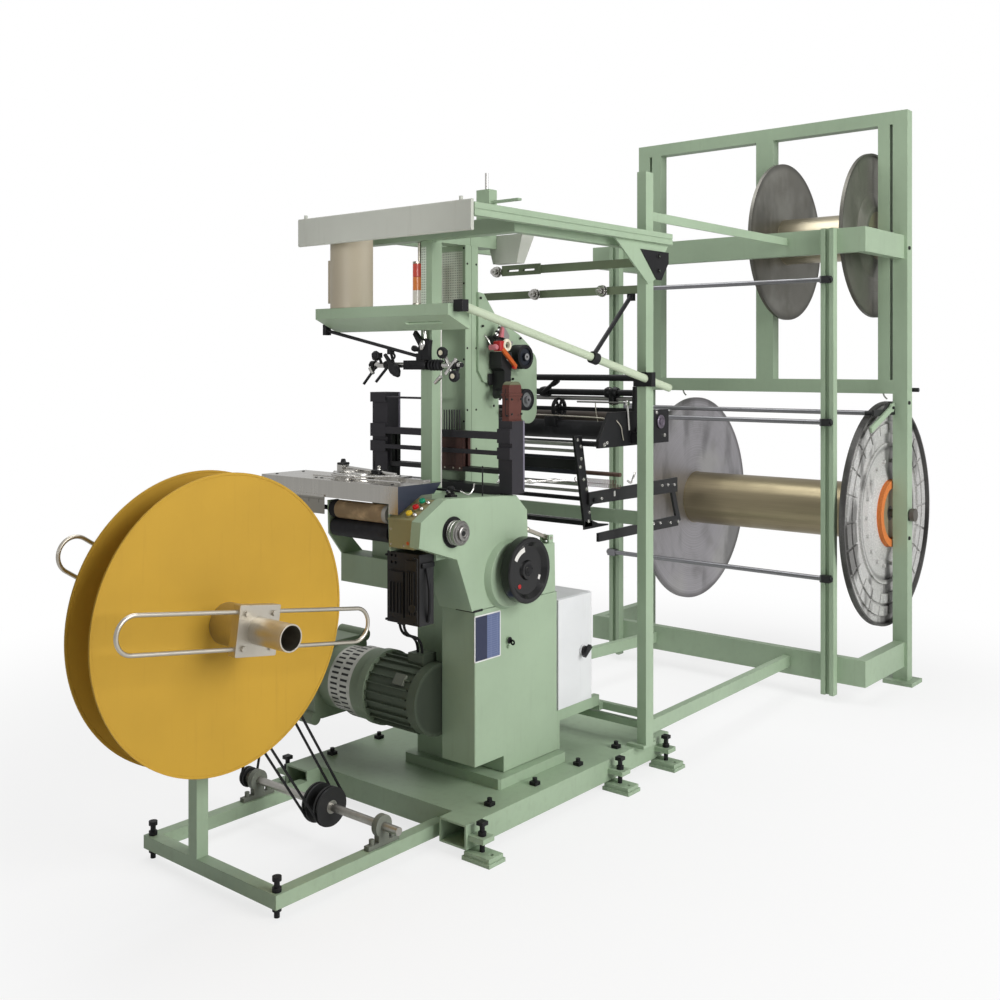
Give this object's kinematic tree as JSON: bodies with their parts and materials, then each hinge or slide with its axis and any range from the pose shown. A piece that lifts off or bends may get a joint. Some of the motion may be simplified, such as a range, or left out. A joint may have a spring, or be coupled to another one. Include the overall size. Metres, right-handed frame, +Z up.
{
  "type": "power loom",
  "caption": "Narrow-fabric power loom on a welded base, with a take-up reel in front, a housed drive head, a heald stand and column, and a tall creel of warp beams behind.",
  "frame": {"origin": "centre of the four corner anchor holes of the base, on the floor", "axes": "+X towards the handwheel side, +Y back towards the beam creel, +Z up"},
  "size_m": [1.56, 4.3491, 2.7],
  "materials": {
    "green_paint": "satin light green enamel",
    "black_steel": "blackened steel",
    "cast_grey": "grey green cast iron",
    "yellow_paint": "satin ochre yellow enamel",
    "satin_steel": "satin steel",
    "beige_cover": "beige grip covering",
    "belt_rubber": "matt black rubber",
    "cable_rubber": "matt black rubber",
    "chrome": "bright chrome",
    "black_gloss": "gloss black",
    "polished_steel": "polished stainless steel",
    "dark_rubber": "dark rubber",
    "tan_paint": "tan enamel",
    "green_button": "gloss green",
    "red_button": "gloss red",
    "yellow_button": "gloss yellow",
    "black_paint": "satin black enamel",
    "white_paint": "satin white enamel",
    "black_plastic": "matt black",
    "pale_grey_paint": "satin warm grey enamel",
    "brown_panel": "satin brown grey",
    "lens_plastic": "coloured clear plastic",
    "olive_paint": "satin olive green enamel",
    "dark_violet_metal": "satin black with a violet cast",
    "heald_brown": "red brown composite",
    "beam_steel": "weathered bright steel"
  },
  "bodies": {
    "frame": {"base_frame": "green_paint", "base_pads": "green_paint", "jack_bolts": "black_steel", "front_subframe": "green_paint", "shaft_bearings": "cast_grey", "drive_belts": "belt_rubber", "pedestal": "green_paint", "lower_cover": "green_paint", "head_housing": "green_paint", "breast_table": "polished_steel", "needle_rail": "chrome", "roller_brackets": "green_paint", "control_box": "tan_paint", "cam_box": "black_paint", "motor": "green_paint", "motor_cables": "cable_rubber", "clutch_housing": "green_paint", "box_body": "white_paint", "column": "green_paint", "top_rails": "green_paint", "fascia": "pale_grey_paint", "lamp_tray": "green_paint", "curved_panel": "brown_panel", "tower_base": "satin_steel", "tower_lenses": "lens_plastic", "slant_tube": "green_paint", "tube_clamps": "black_steel", "tension_bars": "olive_paint", "yarn_eyelets": "chrome", "feeder_bracket": "green_paint", "feeder_body": "black_paint", "yarn_guides": "black_steel", "heald_guides": "dark_violet_metal", "side_frame": "green_paint", "letoff_frame": "black_steel", "creel_frame": "green_paint", "creel_front": "green_paint", "guide_rods": "black_steel"},
    "reel": {"reel_core": "satin_steel", "reel_flanges": "yellow_paint"},
    "jack_shaft": {"jack_shaft": "black_steel"},
    "takeup_roller": {"takeup_roller": "beige_cover"},
    "press_roller": {"press_roller": "dark_rubber"},
    "handwheel": {"handwheel": "black_gloss"},
    "main_hub": {"main_hub": "chrome"},
    "heald_frame_front": {"heald_frame_front": "heald_brown"},
    "heald_frame_rear": {"heald_frame_rear": "heald_brown"},
    "feeder_wheel_top": {"feeder_wheel_top": "dark_rubber"},
    "feeder_wheel_bottom": {"feeder_wheel_bottom": "dark_rubber"},
    "tension_handwheel": {"tension_handwheel": "chrome"},
    "swing_arm": {"swing_arm": "black_paint"},
    "upper_beam": {"upper_beam": "beam_steel"},
    "lower_beam": {"lower_beam": "beam_steel"},
    "brake_lever": {"brake_lever": "green_paint"},
    "box_door": {"box_door": "white_paint"},
    "isolator": {"isolator_handle": "black_plastic"},
    "button_green": {"push_button_green": "green_button"},
    "button_red": {"push_button_red": "red_button"},
    "button_yellow": {"push_button_yellow": "yellow_button"},
    "latch_lever": {"latch_lever": "satin_steel"}
  },
  "joints": [
    {"name": "reel_spin", "type": "hinge", "parent": "frame", "child": "reel", "pos_m": [0, -1.165, 0.77], "axis": [1, 0, 0], "continuous": true},
    {"name": "jack_spin", "type": "hinge", "parent": "frame", "child": "jack_shaft", "pos_m": [0, -0.76, 0.128], "axis": [1, 0, 0], "continuous": true},
    {"name": "takeup_spin", "type": "hinge", "parent": "frame", "child": "takeup_roller", "pos_m": [0, -0.57, 1.022], "axis": [1, 0, 0], "continuous": true},
    {"name": "press_spin", "type": "hinge", "parent": "frame", "child": "press_roller", "pos_m": [0, -0.562, 0.96122], "axis": [1, 0, 0], "continuous": true},
    {"name": "handwheel_spin", "type": "hinge", "parent": "frame", "child": "handwheel", "pos_m": [0, -0.173, 0.818], "axis": [1, 0, 0], "continuous": true},
    {"name": "main_hub_spin", "type": "hinge", "parent": "frame", "child": "main_hub", "pos_m": [0, -0.464, 0.97], "axis": [1, 0, 0], "continuous": true},
    {"name": "heald_front_slide", "type": "slide", "parent": "frame", "child": "heald_frame_front", "axis": [0, 0, 1], "range_m": [-0.035, 0.035]},
    {"name": "heald_rear_slide", "type": "slide", "parent": "frame", "child": "heald_frame_rear", "axis": [0, 0, 1], "range_m": [-0.035, 0.035]},
    {"name": "feeder_top_spin", "type": "hinge", "parent": "frame", "child": "feeder_wheel_top", "pos_m": [0, 0.14, 1.53], "axis": [1, 0, 0], "continuous": true},
    {"name": "feeder_low_spin", "type": "hinge", "parent": "frame", "child": "feeder_wheel_bottom", "pos_m": [0, 0.15, 1.372], "axis": [1, 0, 0], "continuous": true},
    {"name": "tension_wheel_spin", "type": "hinge", "parent": "frame", "child": "tension_handwheel", "pos_m": [0, 0.445, 1.33], "axis": [1, 0, 0], "continuous": true},
    {"name": "swing_arm_hinge", "type": "hinge", "parent": "frame", "child": "swing_arm", "pos_m": [0, 0.255, 1.01], "axis": [1, 0, 0], "range_deg": [-6, 0]},
    {"name": "upper_beam_spin", "type": "hinge", "parent": "frame", "child": "upper_beam", "pos_m": [0, 2.22, 2.12], "axis": [1, 0, 0], "continuous": true},
    {"name": "lower_beam_spin", "type": "hinge", "parent": "frame", "child": "lower_beam", "pos_m": [0, 2.22, 0.795], "axis": [1, 0, 0], "continuous": true},
    {"name": "brake_lever_hinge", "type": "hinge", "parent": "frame", "child": "brake_lever", "pos_m": [0, 2.13, 1.3], "axis": [1, 0, 0], "range_deg": [-8, 8]},
    {"name": "box_door_hinge", "type": "hinge", "parent": "frame", "child": "box_door", "pos_m": [0.262, 0.114, 0.464], "axis": [0, 0, 1], "range_deg": [-95, 0]},
    {"name": "isolator_turn", "type": "hinge", "parent": "box_door", "child": "isolator", "pos_m": [0.262, 0.262, 0.455], "axis": [1, 0, 0], "range_deg": [0, 90]},
    {"name": "latch_hinge", "type": "hinge", "parent": "frame", "child": "latch_lever", "pos_m": [0, 0.05, 0.892], "axis": [1, 0, 0], "range_deg": [-60, 0]},
    {"name": "button_green_press", "type": "slide", "parent": "frame", "child": "button_green", "axis": [0, -0.4751, 0.8799], "range_m": [-0.004, 0], "stiffness_N_per_m": 800},
    {"name": "button_red_press", "type": "slide", "parent": "frame", "child": "button_red", "axis": [0, -0.4751, 0.8799], "range_m": [-0.004, 0], "stiffness_N_per_m": 800},
    {"name": "button_yellow_press", "type": "slide", "parent": "frame", "child": "button_yellow", "axis": [0, -0.4751, 0.8799], "range_m": [-0.004, 0], "stiffness_N_per_m": 800}
  ],
  "couplings": [
    {"joint": "jack_spin", "follows": "reel_spin", "ratio": 1.3393},
    {"joint": "takeup_spin", "follows": "reel_spin", "ratio": 2.0833},
    {"joint": "press_spin", "follows": "reel_spin", "ratio": -2.0161},
    {"joint": "main_hub_spin", "follows": "handwheel_spin", "ratio": 1},
    {"joint": "heald_rear_slide", "follows": "heald_front_slide", "ratio": -1}
  ]
}
